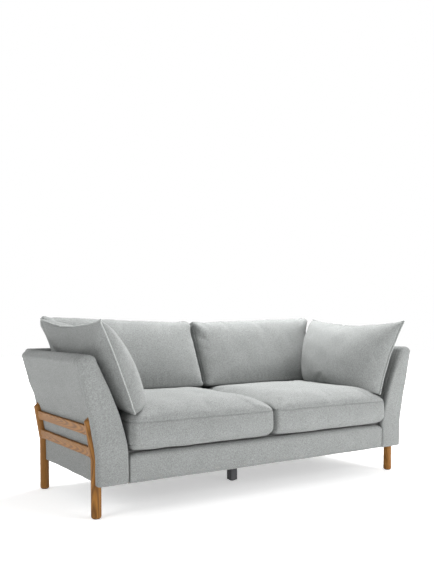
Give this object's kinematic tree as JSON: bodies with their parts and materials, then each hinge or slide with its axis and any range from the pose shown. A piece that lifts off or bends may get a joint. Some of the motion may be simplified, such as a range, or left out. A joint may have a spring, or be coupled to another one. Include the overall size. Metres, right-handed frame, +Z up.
{
  "type": "two-cushion sofa",
  "caption": "Sofa with flared padded arms, loose seat, back and side cushions, and an oak post-and-slat frame bolted to each side.",
  "frame": {"origin": "on the floor, under the middle of the sofa's width and depth", "axes": "+X along the sofa to the right as seen from in front, +Y from the front to the back, +Z up"},
  "size_m": [2.06, 0.94, 0.8903],
  "materials": {
    "upholstery_fabric": "fine flat-woven cool grey upholstery fabric",
    "deck_cloth": "plain grey platform cloth",
    "dust_cloth": "black non-woven lining",
    "foam": "cream seating foam",
    "fibre_filling": "white fibre filling",
    "oak": "satin oiled oak, mid brown",
    "beech": "plain beech dowel",
    "plywood": "unfinished birch plywood",
    "softwood": "planed softwood",
    "webbing": "elastic webbing",
    "spring_steel": "drawn spring wire",
    "zinc_steel": "zinc-plated steel",
    "brass": "plain brass",
    "dark_leg": "dark grey stained wood, satin",
    "black_steel": "black powder coat",
    "glide_plastic": "black nylon glide"
  },
  "bodies": {
    "frame": {"front_rail": "softwood", "rear_rail": "softwood", "left_side_rail": "softwood", "right_side_rail": "softwood", "centre_rail": "softwood", "corner_blocks": "softwood", "front_border": "upholstery_fabric", "seat_springs": "spring_steel", "spring_clips": "zinc_steel", "seat_pad": "foam", "deck_cloth": "deck_cloth", "dust_cover": "dust_cloth", "left_arm_boards": "plywood", "right_arm_boards": "plywood", "left_arm_rails": "softwood", "right_arm_rails": "softwood", "left_arm_cover": "upholstery_fabric", "right_arm_cover": "upholstery_fabric", "back_uprights": "plywood", "back_top_rail": "softwood", "back_bottom_rail": "softwood", "back_webbing": "webbing", "back_cover": "upholstery_fabric", "left_front_leg": "oak", "left_rear_leg": "oak", "right_front_leg": "oak", "right_rear_leg": "oak", "left_upper_slat": "oak", "left_lower_slat": "oak", "right_upper_slat": "oak", "right_lower_slat": "oak", "slat_dowels": "beech", "leg_inserts": "brass", "leg_bolts": "zinc_steel", "leg_washers": "zinc_steel", "frame_bolts": "zinc_steel", "frame_nuts": "zinc_steel", "centre_leg": "dark_leg", "centre_leg_plate": "black_steel", "centre_leg_screws": "zinc_steel", "foot_glides": "glide_plastic"},
    "left_seat_cushion": {"left_seat_cover": "upholstery_fabric", "left_seat_foam": "foam"},
    "left_back_cushion": {"left_back_cover": "upholstery_fabric", "left_back_fill": "fibre_filling"},
    "left_side_cushion": {"left_side_cover": "upholstery_fabric", "left_side_fill": "fibre_filling"},
    "right_seat_cushion": {"right_seat_cover": "upholstery_fabric", "right_seat_foam": "foam"},
    "right_back_cushion": {"right_back_cover": "upholstery_fabric", "right_back_fill": "fibre_filling"},
    "right_side_cushion": {"right_side_cover": "upholstery_fabric", "right_side_fill": "fibre_filling"}
  },
  "joints": [
    {"name": "left_seat_lift", "type": "slide", "parent": "frame", "child": "left_seat_cushion", "axis": [0, 0, 1], "range_m": [0, 0.45]},
    {"name": "left_back_lift", "type": "slide", "parent": "left_seat_cushion", "child": "left_back_cushion", "axis": [0, 0.3985, 0.9172], "range_m": [0, 0.45]},
    {"name": "left_side_lift", "type": "slide", "parent": "left_seat_cushion", "child": "left_side_cushion", "axis": [0, 0, 1], "range_m": [0, 0.45]},
    {"name": "right_seat_lift", "type": "slide", "parent": "frame", "child": "right_seat_cushion", "axis": [0, 0, 1], "range_m": [0, 0.45]},
    {"name": "right_back_lift", "type": "slide", "parent": "right_seat_cushion", "child": "right_back_cushion", "axis": [0, 0.3985, 0.9172], "range_m": [0, 0.45]},
    {"name": "right_side_lift", "type": "slide", "parent": "right_seat_cushion", "child": "right_side_cushion", "axis": [0, 0, 1], "range_m": [0, 0.45]}
  ]
}
